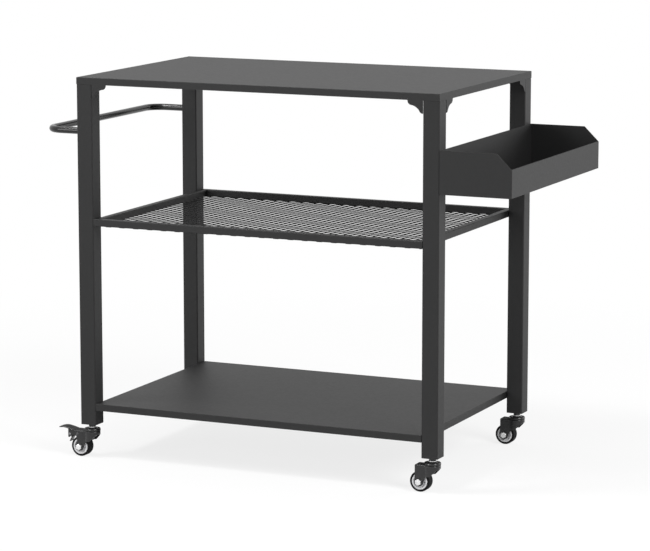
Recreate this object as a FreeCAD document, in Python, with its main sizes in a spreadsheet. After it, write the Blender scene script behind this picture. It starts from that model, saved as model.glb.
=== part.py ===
import FreeCAD, Part
import os

import Sketcher

# Grill cart: four square legs on swivel casters, a sheet top with a folded skirt, a mesh shelf, a solid
# bottom shelf, an open side tray on the right and a push handle on the left.
# Millimetres. +X to the right, +Y to the back, +Z up. The origin is on the floor, under the centre of
# the whole cart, tray and handle included.

DIMENSIONS = [
    # frame and legs
    ("frame_length", 911.0),
    ("frame_depth", 575.0),
    ("cart_height", 903.5),
    ("leg_size", 40.0),
    ("leg_wall", 1.5),
    ("leg_round", 3.0),
    ("leg_foot", 80.0),
    ("end_chamfer", 0.6),
    ("socket_depth", 12.0),
    ("socket_play", 0.0),
    ("post_length", 60.0),
    ("post_play", 0.4),
    # sheet top with skirt and corner ears
    ("skirt_height", 16.5),
    ("top_sheet", 1.5),
    ("ear_reach", 37.0),
    ("ear_drop", 29.0),
    ("ear_nose_reach", 30.0),
    ("ear_nose_drop", 10.5),
    ("ear_toe_reach", 8.5),
    ("ear_toe_drop", 23.5),
    ("ear_nose_round", 10.0),
    ("ear_cove_round", 28.0),
    ("ear_toe_round", 8.0),
    ("channel_width", 30.0),
    ("channel_height", 12.0),
    ("channel_sheet", 1.2),
    ("channel_spread", 230.0),
    # middle shelf: tube frame and expanded mesh
    ("middle_shelf_top", 572.5),
    ("rail_width", 16.0),
    ("rail_wall", 1.2),
    ("rail_round", 1.5),
    ("mesh_sheet", 1.2),
    ("mesh_long_way", 54.0),
    ("mesh_short_way", 32.55),
    ("mesh_strand", 3.6),
    ("mesh_overlap", 12.0),
    # bottom shelf
    ("bottom_shelf_top", 132.5),
    ("shelf_sheet", 1.2),
    # side tray
    ("tray_bottom", 680.0),
    ("tray_depth", 171.0),
    ("tray_height", 98.0),
    ("tray_lip", 63.0),
    ("tray_flat", 135.0),
    ("tray_sheet", 1.5),
    ("tray_fold", 2.0),
    # push handle
    ("handle_rod", 16.0),
    ("handle_wall", 1.5),
    ("handle_reach", 92.5),
    ("handle_bend", 40.0),
    ("handle_level", 776.0),
    # casters
    ("wheel_radius", 24.0),
    ("wheel_width", 22.0),
    ("tyre_shoulder", 4.0),
    ("tyre_depth", 5.5),
    ("caster_trail", 27.0),
    ("fork_eye", 10.4),
    ("fork_gap", 26.0),
    ("fork_sheet", 2.0),
    ("fork_top", 63.0),
    ("fork_dome", 19.0),
    ("fork_rake", 37.8),
    ("fork_neck", 4.0),
    ("fork_round", 1.8),
    ("cap_radius", 19.6),
    ("cap_gap", 0.4),
    ("cap_top", 68.8),
    ("cap_sheet", 1.5),
    ("cap_boss", 10.5),
    ("cap_boss_top", 71.0),
    ("kingpin_radius", 4.0),
    ("kingpin_head", 6.5),
    ("kingpin_head_height", 2.4),
    ("bearing_radius", 16.0),
    ("stem_radius", 5.0),
    ("stem_length", 25.0),
    ("stem_hex", 8.2),
    ("stem_collar", 8.9),
    ("stem_collar_height", 2.0),
    ("axle_radius", 4.0),
    ("axle_head", 7.5),
    ("axle_head_height", 6.4),
    ("axle_face", 6.4),
    ("axle_face_height", 0.6),
    ("axle_tail", 2.0),
    ("nut_height", 5.0),
    ("sleeve_radius", 5.5),
    ("hub_length", 24.0),
    ("hub_boss", 8.5),
    ("hub_rim", 14.8),
    ("hub_web", 12.0),
    ("hub_rim_width", 23.0),
    ("running_play", 0.05),
    # brake
    ("brake_fork_reach", 4.2),
    ("brake_fork_lip", 6.0),
    ("brake_fork_sweep", 26.0),
    ("brake_pivot_back", 33.0),
    ("brake_pivot_height", 54.0),
    ("brake_boss", 4.5),
    ("brake_pin_radius", 2.5),
    ("brake_pin_head", 3.8),
    ("brake_pin_head_height", 1.2),
    ("pedal_width", 29.0),
    ("pedal_sheet", 2.0),
    ("pedal_tip_back", 84.0),
    ("pedal_tip_height", 67.0),
    ("pedal_crown_back", 68.0),
    ("pedal_crown_height", 68.5),
    ("pedal_root_back", 42.5),
    ("pedal_root_height", 63.0),
    ("pedal_tip_arch", 54.0),
    ("pedal_root_arch", 300.0),
    ("cheek_gap", 20.0),
    ("cheek_back", 59.2),
    ("cheek_low", 43.6),
    ("cheek_round", 2.6),
    ("shoe_gap", 6.2),
    ("shoe_sheet", 2.0),
    ("shoe_low", 33.0),
    ("shoe_bend", 44.0),
    ("shoe_high", 52.0),
    ("shoe_tongue", 15.0),
]

doc = FreeCAD.newDocument("grill_cart")
sheet = doc.addObject("Spreadsheet::Sheet", "dims")
for row, (alias, size) in enumerate(DIMENSIONS, start=1):
    sheet.set(f"A{row}", alias.replace("_", " "))
    sheet.set(f"B{row}", str(size))
    sheet.setAlias(f"B{row}", alias)
doc.recompute()

# Positions that several sub-parts share, as expressions on the sheet.
FRAME_X = "(dims.handle_reach + dims.handle_rod / 2 - dims.tray_depth) / 2"
HALF_LENGTH = "dims.frame_length / 2"
HALF_DEPTH = "dims.frame_depth / 2"
LEG_X = "(dims.frame_length / 2 - dims.leg_size / 2)"
LEG_Y = "(dims.frame_depth / 2 - dims.leg_size / 2)"
SHELF_HALF = "(dims.frame_length / 2 - dims.leg_size)"
SKIRT_LOW = "(dims.cart_height - dims.skirt_height)"
FORK_HALF = "(dims.fork_gap / 2 + dims.fork_sheet)"
CORNERS = {
    "front_left": (-1, -1),
    "front_right": (1, -1),
    "rear_left": (-1, 1),
    "rear_right": (1, 1),
}
BRAKED = ("front_left", "rear_left")

sub_parts = []


def size_of(alias):
    """One driving dimension as a plain number."""
    return float(sheet.get(alias))


def signed(sign, expression):
    return f"{sign} * ({expression})"


def place(thing, across="0", back="0", up="0"):
    """Binds an object's position to expressions on the sheet."""
    for axis, expression in (("x", across), ("y", back), ("z", up)):
        thing.setExpression(f".Placement.Base.{axis}", str(expression))


def bind(thing, **expressions):
    for name, expression in expressions.items():
        thing.setExpression(name, str(expression))
    return thing


def keep(thing, label):
    """Marks an object as a sub-part that is written to its own file."""
    thing.Label = label
    sub_parts.append(thing)
    return thing


# Part Design helpers


def new_body(label):
    return keep(doc.addObject("PartDesign::Body", label), label)


def own_plane(body, role):
    return next(f for f in body.Origin.OriginFeatures if f.Role == role)


def new_sketch(body, role, lift="0"):
    """A sketch on one of the body's own planes, lifted along that plane's normal."""
    sketch = body.newObject("Sketcher::SketchObject", "sketch")
    sketch.AttachmentSupport = [(own_plane(body, role), "")]
    sketch.MapMode = "FlatFace"
    sketch.setExpression(".AttachmentOffset.Base.z", str(lift))
    return sketch


def fixed_points(sketch, corners):
    """Construction points of an outline, each held by two expressions."""
    points = []
    for corner in corners:
        point = sketch.addGeometry(Part.Point(FreeCAD.Vector(0, 0, 0)), True)
        for kind, expression in zip(("DistanceX", "DistanceY"), corner):
            number = sketch.addConstraint(Sketcher.Constraint(kind, -1, 1, point, 1, 1.0))
            sketch.setExpression(f"Constraints[{number}]", str(expression))
        points.append(point)
    doc.recompute()
    return points


def arc_between(start, end, bulge):
    """An anticlockwise arc between two points. Its sagitta is bulge times the chord, to the right of
    the way from start to end."""
    chord = end - start
    right = FreeCAD.Vector(chord.y, -chord.x, 0)
    middle = (start + end) / 2 + right * bulge
    return Part.Arc(start, middle, end) if bulge > 0 else Part.Arc(end, middle, start)


def outline(sketch, corners, arcs=None, closed=True):
    """Lines from corner to corner. arcs gives, by the number of its first corner, an arc's radius
    expression and its rough bulge."""
    arcs = arcs or {}
    points = fixed_points(sketch, corners)
    places = [FreeCAD.Vector(sketch.Geometry[p].X, sketch.Geometry[p].Y, 0) for p in points]
    count = len(points)
    for i in range(count if closed else count - 1):
        j = (i + 1) % count
        radius, bulge = arcs.get(i, (None, 0))
        if radius is None:
            edge = sketch.addGeometry(Part.LineSegment(places[i], places[j]), False)
        else:
            edge = sketch.addGeometry(arc_between(places[i], places[j], bulge), False)
        first, last = (2, 1) if bulge < 0 else (1, 2)
        sketch.addConstraint(Sketcher.Constraint("Coincident", edge, first, points[i], 1))
        sketch.addConstraint(Sketcher.Constraint("Coincident", edge, last, points[j], 1))
        if radius is not None:
            rough = sketch.Geometry[edge].Radius
            number = sketch.addConstraint(Sketcher.Constraint("Radius", edge, rough))
            sketch.setExpression(f"Constraints[{number}]", str(radius))
    return sketch


def box_outline(sketch, half_width, half_height, centre=("0", "0")):
    """A rectangle about a centre, given by its half sizes."""
    x, y = centre
    return outline(
        sketch,
        [
            (f"{x} - ({half_width})", f"{y} - ({half_height})"),
            (f"{x} + ({half_width})", f"{y} - ({half_height})"),
            (f"{x} + ({half_width})", f"{y} + ({half_height})"),
            (f"{x} - ({half_width})", f"{y} + ({half_height})"),
        ],
    )


def circle(sketch, radius, centre=("0", "0")):
    """A circle held at its centre by two expressions."""
    middle = fixed_points(sketch, [centre])[0]
    place_of = FreeCAD.Vector(sketch.Geometry[middle].X, sketch.Geometry[middle].Y, 0)
    ring = sketch.addGeometry(Part.Circle(place_of, FreeCAD.Vector(0, 0, 1), 5.0), False)
    sketch.addConstraint(Sketcher.Constraint("Coincident", ring, 3, middle, 1))
    number = sketch.addConstraint(Sketcher.Constraint("Radius", ring, 5.0))
    sketch.setExpression(f"Constraints[{number}]", str(radius))
    return sketch


def pad(body, sketch, length, both_ways=False, backwards=False):
    feature = body.newObject("PartDesign::Pad", "pad")
    feature.Profile = sketch
    feature.setExpression("Length", str(length))
    feature.SideType = "Symmetric" if both_ways else "One side"
    feature.Reversed = backwards
    doc.recompute()
    return feature


def pocket(body, sketch, length, both_ways=False, backwards=False):
    """A pocket that has to take material away."""
    before = body.Shape.Volume
    feature = body.newObject("PartDesign::Pocket", "pocket")
    feature.Profile = sketch
    feature.setExpression("Length", str(length))
    feature.SideType = "Symmetric" if both_ways else "One side"
    feature.Reversed = backwards
    doc.recompute()
    if feature.Shape.Volume > before - 0.01:
        raise RuntimeError(f"{body.Label}: a pocket cuts nothing")
    return feature


def mirrored(body, features, role):
    """Repeats features across one of the body's own planes."""
    feature = body.newObject("PartDesign::Mirrored", "mirrored")
    feature.Originals = features
    feature.MirrorPlane = (own_plane(body, role), [""])
    body.Tip = feature
    doc.recompute()
    return feature


def revolve(body, sketch):
    """Turns an XZ outline about the body's vertical axis."""
    feature = body.newObject("PartDesign::Revolution", "revolution")
    feature.Profile = sketch
    feature.ReferenceAxis = (sketch, ["V_Axis"])
    feature.Angle = 360
    doc.recompute()
    return feature


def dress(body, kind, size_name, size, wanted):
    """Rounds or chamfers the edges of the body's tip that the test picks out."""
    base = body.Tip
    names = [f"Edge{n}" for n, edge in enumerate(base.Shape.Edges, start=1) if wanted(edge)]
    if not names:
        raise RuntimeError(f"{body.Label}: no edge to work on")
    feature = body.newObject(kind, kind.split("::")[1].lower())
    feature.Base = (base, names)
    feature.setExpression(size_name, str(size))
    doc.recompute()
    return feature


def fillet(body, radius, wanted):
    return dress(body, "PartDesign::Fillet", "Radius", radius, wanted)


def chamfer(body, size, wanted):
    return dress(body, "PartDesign::Chamfer", "Size", size, wanted)


def runs_along(edge, axis):
    """True for a straight edge along x, y or z."""
    if edge.Curve.TypeId != "Part::GeomLine":
        return False
    return abs(abs(getattr(edge.Curve.Direction, axis)) - 1) < 1e-6


# Legs and what closes their ends


def square_tube(label, half_width, half_height, wall, round_outside, length, role):
    """A rounded square or rectangular tube, centred, along the normal of one of its planes."""
    body = new_body(label)
    sketch = new_sketch(body, role)
    box_outline(sketch, half_width, half_height)
    box_outline(sketch, f"{half_width} - {wall}", f"{half_height} - {wall}")
    pad(body, sketch, length, both_ways=True)
    axis = {"XY_Plane": "z", "XZ_Plane": "y", "YZ_Plane": "x"}[role]
    box = body.Shape.BoundBox
    limits = {"x": box.XMax, "y": box.YMax, "z": box.ZMax}

    def outer(edge):
        point = edge.CenterOfMass
        others = [a for a in "xyz" if a != axis]
        return runs_along(edge, axis) and all(abs(abs(getattr(point, a)) - limits[a]) < 0.01 for a in others)

    fillet(body, round_outside, outer)
    return body


def leg(corner):
    """A leg with its ends' outer edges deburred, so a fine line shows where the skirt stands on it."""
    side, end = CORNERS[corner]
    length = f"{SKIRT_LOW} - dims.leg_foot"
    half = "dims.leg_size / 2"
    body = square_tube(f"leg_{corner}", half, half, "dims.leg_wall", "dims.leg_round", length, "XY_Plane")
    box = body.Shape.BoundBox
    inner = box.XMax - size_of("leg_wall")

    def outer_end(edge):
        at = edge.CenterOfMass
        on_end = abs(abs(at.z) - box.ZMax) < 0.01 and edge.BoundBox.ZLength < 0.01
        return on_end and max(abs(at.x), abs(at.y)) > inner + 0.5

    chamfer(body, "dims.end_chamfer", outer_end)
    place(
        body,
        f"{FRAME_X} + {signed(side, LEG_X)}",
        signed(end, LEG_Y),
        f"dims.leg_foot + ({length}) / 2",
    )


def plate_with_hole(name, width, height, hole, hole_radius):
    """A square block with a hole down its middle, as two primitives and a cut."""
    block = bind(doc.addObject("Part::Box", name), Length=width, Width=width, Height=height)
    if hole_radius is None:
        core = bind(doc.addObject("Part::Box", name), Length=hole, Width=hole, Height=height)
        place(core, f"({width} - ({hole})) / 2", f"({width} - ({hole})) / 2")
    else:
        core = bind(doc.addObject("Part::Cylinder", name), Radius=hole_radius, Height=height)
        place(core, f"({width}) / 2", f"({width}) / 2")
    cut = doc.addObject("Part::Cut", name)
    cut.Base = block
    cut.Tool = core
    return cut


def group(label, pieces):
    """Identical separate solids that share one node."""
    compound = doc.addObject("Part::Compound", label)
    compound.Links = pieces
    return keep(compound, label)


def at_each_leg(label, make_piece, width, low):
    """One piece in the middle of each leg, from a given level up."""
    pieces = []
    for side, end in CORNERS.values():
        piece = make_piece()
        place(
            piece,
            f"{FRAME_X} + {signed(side, LEG_X)} - ({width}) / 2",
            f"{signed(end, LEG_Y)} - ({width}) / 2",
            low,
        )
        pieces.append(piece)
    group(label, pieces)


def caster_sockets():
    """Threaded plugs in the bottom ends of the legs."""
    width = "(dims.leg_size - 2 * dims.leg_wall - 2 * dims.socket_play)"
    radius = "dims.stem_radius + dims.running_play"
    at_each_leg(
        "caster_sockets",
        lambda: plate_with_hole("socket", width, "dims.socket_depth", None, radius),
        width,
        "dims.leg_foot",
    )


def corner_posts():
    """Tube stubs under the top's corners that stand inside the legs."""
    width = "(dims.leg_size - 2 * dims.leg_wall - 2 * dims.post_play)"
    hole = f"({width} - 2 * dims.leg_wall)"
    at_each_leg(
        "corner_posts",
        lambda: plate_with_hole("post", width, "dims.post_length", hole, None),
        width,
        "dims.cart_height - dims.top_sheet - dims.post_length",
    )


# Sheet top


def skirt_outline(half_span):
    """A skirt seen square on, with an ear beside each leg. The sheet's top is at level 0."""
    low = "-dims.skirt_height"
    ear = [
        ("0", "dims.ear_drop"),
        ("dims.ear_toe_reach", "dims.ear_toe_drop"),
        ("dims.ear_nose_reach", "dims.ear_nose_drop"),
        ("dims.ear_reach", "0"),
    ]
    right_ear = [(f"{half_span} - dims.leg_size - {x}", f"{low} - {drop}") for x, drop in reversed(ear)]
    left_ear = [(f"-({half_span}) + dims.leg_size + {x}", f"{low} - {drop}") for x, drop in ear]
    corners = [(f"-({half_span})", "0"), (f"-({half_span})", low)]
    corners += [(f"-({half_span}) + dims.leg_size", low)] + left_ear
    corners += right_ear + [(f"{half_span} - dims.leg_size", low)]
    corners += [(half_span, low), (half_span, "0")]
    toe = ("dims.ear_toe_round", 0.17)
    cove = ("dims.ear_cove_round", -0.12)
    nose = ("dims.ear_nose_round", 0.17)
    return corners, {3: toe, 4: cove, 5: nose, 7: nose, 8: cove, 9: toe}


def top_panel():
    """A folded sheet pan, open below, whose skirt runs into a shaped ear beside each leg."""
    body = new_body("top_panel")
    flat = new_sketch(body, "XY_Plane", "-dims.top_sheet")
    box_outline(flat, HALF_LENGTH, HALF_DEPTH)
    pad(body, flat, "dims.top_sheet")
    for role, half_span, offset, opposite in (
        ("XZ_Plane", HALF_LENGTH, HALF_DEPTH, "XZ_Plane"),
        ("YZ_Plane", HALF_DEPTH, HALF_LENGTH, "YZ_Plane"),
    ):
        side = new_sketch(body, role, offset)
        corners, arcs = skirt_outline(half_span)
        outline(side, corners, arcs)
        skirt = pad(body, side, "dims.top_sheet", backwards=True)
        mirrored(body, [skirt], opposite)
    top = body.Shape.BoundBox.ZMax
    fillet(body, "dims.top_sheet", lambda edge: abs(edge.BoundBox.ZMin - top) < 0.01)
    place(body, FRAME_X, "0", "dims.cart_height")


def channels(label, level, half_length, count):
    """Hat channels welded under a sheet, front to back."""
    pieces = []
    for i in range(count):
        name = f"{label}_channel"
        outer = bind(
            doc.addObject("Part::Box", name),
            Length="dims.channel_width",
            Width=f"2 * ({half_length})",
            Height="dims.channel_height",
        )
        inner = bind(
            doc.addObject("Part::Box", name),
            Length="dims.channel_width - 2 * dims.channel_sheet",
            Width=f"2 * ({half_length})",
            Height="dims.channel_height - dims.channel_sheet",
        )
        place(inner, "dims.channel_sheet", "0", "dims.channel_sheet")
        cut = doc.addObject("Part::Cut", name)
        cut.Base = outer
        cut.Tool = inner
        place(
            cut,
            f"{FRAME_X} + {i - (count - 1) / 2} * dims.channel_spread - dims.channel_width / 2",
            f"-({half_length})",
            f"{level} - dims.channel_height",
        )
        pieces.append(cut)
    group(label, pieces)


# Middle shelf


def shelf_rail(label, length, role, across, back):
    half_width = "dims.rail_width / 2"
    half_height = "dims.skirt_height / 2"
    body = square_tube(label, half_width, half_height, "dims.rail_wall", "dims.rail_round", length, role)
    place(body, across, back, "dims.middle_shelf_top - dims.skirt_height / 2")


def middle_shelf_rails():
    """Long rails between the legs at front and back, short rails between the long ones."""
    inset = f"({HALF_DEPTH} - dims.rail_width / 2)"
    for name, sign in (("front", -1), ("rear", 1)):
        shelf_rail(f"middle_shelf_rail_{name}", f"2 * {SHELF_HALF}", "YZ_Plane", FRAME_X, signed(sign, inset))
    inset = f"({SHELF_HALF} - dims.rail_width / 2)"
    for name, sign in (("left", -1), ("right", 1)):
        length = "dims.frame_depth - 2 * dims.rail_width"
        across = f"{FRAME_X} + {signed(sign, inset)}"
        shelf_rail(f"middle_shelf_rail_{name}", length, "XZ_Plane", across, "0")


def middle_shelf_mesh():
    """Flattened expanded metal welded under the rails: staggered diamonds in one sheet."""
    sheet_thickness = size_of("mesh_sheet")
    half_x = size_of("frame_length") / 2 - size_of("leg_size") - size_of("rail_width")
    half_y = size_of("frame_depth") / 2 - size_of("rail_width")
    overlap = size_of("mesh_overlap")
    long_way = size_of("mesh_long_way")
    short_way = size_of("mesh_short_way")
    slope = (long_way**2 + short_way**2) ** 0.5
    gap_x = long_way / 2 - size_of("mesh_strand") * slope / short_way / 2
    gap_y = short_way / 2 - size_of("mesh_strand") * slope / long_way / 2

    def rectangle(x, y):
        ring = [(-x, -y), (x, -y), (x, y), (-x, y), (-x, -y)]
        return Part.makePolygon([FreeCAD.Vector(a, b, 0) for a, b in ring])

    def diamond(x, y):
        ring = [(x - gap_x, y), (x, y - gap_y), (x + gap_x, y), (x, y + gap_y), (x - gap_x, y)]
        return Part.makePolygon([FreeCAD.Vector(a, b, 0) for a, b in ring])

    holes = []
    rows = int(half_y / short_way) + 1
    columns = int(half_x / long_way) + 1
    for row in range(-2 * rows, 2 * rows + 1):
        for column in range(-2 * columns, 2 * columns + 1):
            x = column * long_way / 2
            y = row * short_way / 2
            inside = abs(x) + gap_x < half_x and abs(y) + gap_y < half_y
            if (row + column) % 2 == 0 and inside:
                holes.append(diamond(x, y))
    wires = [rectangle(half_x + overlap, half_y + overlap)] + holes
    face = Part.makeFace(wires, "Part::FaceMakerBullseye")
    mesh = keep(doc.addObject("Part::Feature", "middle_shelf_mesh"), "middle_shelf_mesh")
    mesh.Shape = face.extrude(FreeCAD.Vector(0, 0, sheet_thickness))
    place(mesh, FRAME_X, "0", "dims.middle_shelf_top - dims.skirt_height - dims.mesh_sheet")


# Bottom shelf


def bottom_shelf():
    """A sheet pan, folded down on all four sides and open below."""
    body = new_body("bottom_shelf")
    flat = new_sketch(body, "XY_Plane", "-dims.skirt_height")
    box_outline(flat, SHELF_HALF, HALF_DEPTH)
    pad(body, flat, "dims.skirt_height")
    top = body.Shape.BoundBox.ZMax
    fillet(body, "dims.shelf_sheet", lambda edge: abs(edge.BoundBox.ZMin - top) < 0.01)
    hollow = new_sketch(body, "XY_Plane", "-dims.skirt_height")
    box_outline(hollow, f"{SHELF_HALF} - dims.shelf_sheet", f"{HALF_DEPTH} - dims.shelf_sheet")
    pocket(body, hollow, "dims.skirt_height - dims.shelf_sheet", backwards=True)
    place(body, FRAME_X, "0", "dims.bottom_shelf_top")


# Side tray and handle


def side_tray():
    """An open sheet tray, high at the back, whose end walls slope down to a low front lip."""
    body = new_body("side_tray")
    side = new_sketch(body, "XZ_Plane")
    outline(
        side,
        [
            ("0", "0"),
            ("dims.tray_depth", "0"),
            ("dims.tray_depth", "dims.tray_lip"),
            ("dims.tray_flat", "dims.tray_height"),
            ("0", "dims.tray_height"),
        ],
    )
    pad(body, side, "dims.frame_depth", both_ways=True)
    front = body.Shape.BoundBox.XMax

    def front_fold(edge):
        box = edge.BoundBox
        on_front = abs(box.XMin - front) < 0.01
        return on_front and (runs_along(edge, "z") or (runs_along(edge, "y") and box.ZMax < 1))

    fillet(body, "dims.tray_fold", front_fold)
    inside = new_sketch(body, "XY_Plane", "dims.tray_sheet")
    half_inside = f"(dims.tray_depth / 2 - dims.tray_sheet)"
    box_outline(inside, half_inside, f"{HALF_DEPTH} - dims.tray_sheet", ("dims.tray_depth / 2", "0"))
    pocket(body, inside, "dims.tray_height", backwards=True)
    place(body, f"{FRAME_X} + {HALF_LENGTH}", "0", "dims.tray_bottom")


def push_handle():
    """A round tube bent to a U, level, welded by its ends to the two left legs."""
    body = new_body("push_handle")
    route = new_sketch(body, "XY_Plane")
    bend = "dims.handle_bend"
    outline(
        route,
        [
            ("0", f"-({LEG_Y})"),
            (f"-dims.handle_reach + {bend}", f"-({LEG_Y})"),
            ("-dims.handle_reach", f"-({LEG_Y}) + {bend}"),
            ("-dims.handle_reach", f"{LEG_Y} - {bend}"),
            (f"-dims.handle_reach + {bend}", LEG_Y),
            ("0", LEG_Y),
        ],
        {1: (bend, -0.2), 3: (bend, -0.2)},
        closed=False,
    )
    ring = new_sketch(body, "YZ_Plane")
    circle(ring, "dims.handle_rod / 2", (f"-({LEG_Y})", "0"))
    circle(ring, "dims.handle_rod / 2 - dims.handle_wall", (f"-({LEG_Y})", "0"))
    doc.recompute()
    pipe = body.newObject("PartDesign::AdditivePipe", "pipe")
    pipe.Profile = ring
    pipe.Spine = route
    doc.recompute()
    place(body, f"{FRAME_X} - {HALF_LENGTH}", "0", "dims.handle_level")


# Casters. Each is built about its own kingpin, with the floor at level 0 and its wheel trailing to -X.


def at_caster(thing, corner):
    side, end = CORNERS[corner]
    place(thing, f"{FRAME_X} + {signed(side, LEG_X)}", signed(end, LEG_Y), "0")
    return thing


def turned(label, profile):
    """A body turned about its vertical axis from (radius, level) corners."""
    body = new_body(label)
    sketch = new_sketch(body, "XZ_Plane")
    outline(sketch, profile)
    revolve(body, sketch)
    return body


def hexagon(sketch, radius):
    corners = []
    for i in range(6):
        corners.append((f"({radius}) * cos({60 * i} deg)", f"({radius}) * sin({60 * i} deg)"))
    return outline(sketch, corners)


def caster_stem(corner):
    """Threaded stem, hexagon, round collar and kingpin in one piece, headed over below the fork."""
    head_top = "dims.fork_top - dims.fork_sheet - dims.running_play"
    head_low = f"{head_top} - dims.kingpin_head_height"
    stem_top = "dims.leg_foot + dims.stem_length"
    collar_top = "dims.cap_boss_top + dims.stem_collar_height"
    body = turned(
        f"caster_stem_{corner}",
        [
            ("0", head_low),
            ("dims.kingpin_head", head_low),
            ("dims.kingpin_head", head_top),
            ("dims.kingpin_radius", head_top),
            ("dims.kingpin_radius", "dims.cap_boss_top"),
            ("dims.stem_collar", "dims.cap_boss_top"),
            ("dims.stem_collar", collar_top),
            ("dims.stem_radius", collar_top),
            ("dims.stem_radius", f"{stem_top} - 1"),
            ("dims.stem_radius - 1", stem_top),
            ("0", stem_top),
        ],
    )
    flats = new_sketch(body, "XY_Plane", collar_top)
    hexagon(flats, "dims.stem_hex")
    pad(body, flats, f"dims.leg_foot - ({collar_top})")
    at_caster(body, corner)


def bearing_cap(corner):
    """Pressed cup over the swivel bearing, fixed on the kingpin."""
    inner_top = "dims.cap_top - dims.cap_sheet"
    low = "dims.fork_top + dims.cap_gap"
    body = turned(
        f"bearing_cap_{corner}",
        [
            ("dims.kingpin_radius", inner_top),
            ("dims.cap_radius - dims.cap_sheet", inner_top),
            ("dims.cap_radius - dims.cap_sheet", low),
            ("dims.cap_radius", low),
            ("dims.cap_radius", "dims.cap_top - 2"),
            ("dims.cap_radius - 2", "dims.cap_top"),
            ("dims.cap_boss + 1", "dims.cap_top"),
            ("dims.cap_boss", "dims.cap_top + 1"),
            ("dims.cap_boss", "dims.cap_boss_top"),
            ("dims.kingpin_radius", "dims.cap_boss_top"),
        ],
    )
    at_caster(body, corner)


def swivel_bearing(corner):
    """Closed ball thrust bearing between the fork's top and the cap."""
    low = "dims.fork_top"
    high = "dims.cap_top - dims.cap_sheet - dims.running_play"
    bore = "dims.kingpin_radius + dims.running_play"
    body = turned(
        f"swivel_bearing_{corner}",
        [(bore, low), ("dims.bearing_radius", low), ("dims.bearing_radius", high), (bore, high)],
    )
    at_caster(body, corner)


def keyhole(sketch, dome_radius, half_width, reach):
    """Round over the kingpin, straight and parallel back to the axle side."""
    neck = f"sqrt(({dome_radius}) ^ 2 - ({half_width}) ^ 2)"
    outline(
        sketch,
        [
            (f"-({reach})", f"-({half_width})"),
            (f"-{neck}", f"-({half_width})"),
            (f"-{neck}", half_width),
            (f"-({reach})", half_width),
        ],
        {1: (dome_radius, 1.0)},
    )


def fork_outline(corner):
    """The fork seen along its axle: round the eye, up a hollow front edge, along the rake to the dome.
    The braked ones reach further back at the top and are hollow behind as well."""
    trail = "dims.caster_trail"
    eye = "dims.fork_eye"
    axle = "dims.wheel_radius"
    top = "dims.fork_top"
    dome = "dims.fork_dome"
    rise = f"(dims.fork_rake - {axle})"
    front = f"(({trail} ^ 2 + {rise} ^ 2 - {eye} ^ 2) / (2 * ({eye} + {rise})))"
    share = f"({eye} / ({eye} + {front}))"
    heel = (f"-{trail} * (1 - {share})", f"{axle} + ({rise} - {front}) * {share}")
    back = f"({trail} + {eye})"
    if corner in BRAKED:
        reach = f"({back} + dims.brake_fork_reach)"
        behind = [(f"-{reach}", top), (f"-{reach}", f"{top} - dims.brake_fork_lip")]
        behind.append((f"-{trail} - {eye} * cos(25 deg)", f"{axle} + {eye} * sin(25 deg)"))
        edges = {1: ("dims.brake_fork_sweep", -0.13), 2: (eye, 0.28)}
    else:
        reach = back
        behind = [(f"-{back}", top), (f"-{back}", axle)]
        edges = {1: (eye, 0.207)}
    count = len(behind)
    edges[count] = (eye, 0.19)
    edges[count + 1] = (front, -0.2)
    below = [(f"-{trail}", f"{axle} - {eye}"), heel, ("0", "dims.fork_rake")]
    ahead = [(dome, f"dims.fork_rake + {dome}"), (dome, top)]
    return behind + below + ahead, edges, reach


def fork(corner):
    """Pressed fork: a domed top and two side plates with round axle eyes."""
    body = new_body(f"fork_{corner}")
    trail = "dims.caster_trail"
    axle = "dims.wheel_radius"
    top = "dims.fork_top"
    dome = "dims.fork_dome"
    corners, edges, reach = fork_outline(corner)
    side = new_sketch(body, "XZ_Plane")
    outline(side, corners, edges)
    pad(body, side, f"2 * {dome}", both_ways=True)
    around = new_sketch(body, "XY_Plane")
    box_outline(around, "3 * dims.fork_dome", "2 * dims.fork_dome")
    keyhole(around, dome, FORK_HALF, reach)
    pocket(body, around, top, backwards=True)
    side_face = size_of("fork_gap") / 2 + size_of("fork_sheet")
    level = size_of("fork_top")

    def neck(edge):
        at = edge.CenterOfMass
        return runs_along(edge, "z") and abs(abs(at.y) - side_face) < 0.01 and at.x > -level / 4

    def top_rim(edge):
        box = edge.BoundBox
        return abs(box.ZMin - level) < 0.01 and box.XLength > 0.1

    fillet(body, "dims.fork_neck", neck)
    fillet(body, "dims.fork_round", top_rim)
    inside = new_sketch(body, "XY_Plane")
    keyhole(inside, f"{dome} - dims.fork_sheet", "dims.fork_gap / 2", f"{reach} + 1")
    pocket(body, inside, f"{top} - dims.fork_sheet", backwards=True)
    holes = new_sketch(body, "XZ_Plane")
    circle(holes, "dims.axle_radius + dims.running_play", (f"-{trail}", axle))
    if corner in BRAKED:
        centre = ("-dims.brake_pivot_back", "dims.brake_pivot_height")
        circle(holes, "dims.brake_pin_radius + dims.running_play", centre)
    pocket(body, holes, f"2 * {dome}", both_ways=True)
    pin_hole = new_sketch(body, "XY_Plane")
    circle(pin_hole, "dims.kingpin_radius + dims.running_play")
    pocket(body, pin_hole, f"{top} + 1", backwards=True)
    at_caster(body, corner)


def along_axle(body, corner):
    """Moves a turned body's axis onto the wheel's axle, which runs front to back."""
    side, end = CORNERS[corner]
    body.Placement = FreeCAD.Placement(
        FreeCAD.Vector(0, 0, 0), FreeCAD.Rotation(FreeCAD.Vector(1, 0, 0), -90)
    )
    place(
        body,
        f"{FRAME_X} + {signed(side, LEG_X)} - dims.caster_trail",
        signed(end, LEG_Y),
        "dims.wheel_radius",
    )
    return body


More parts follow.
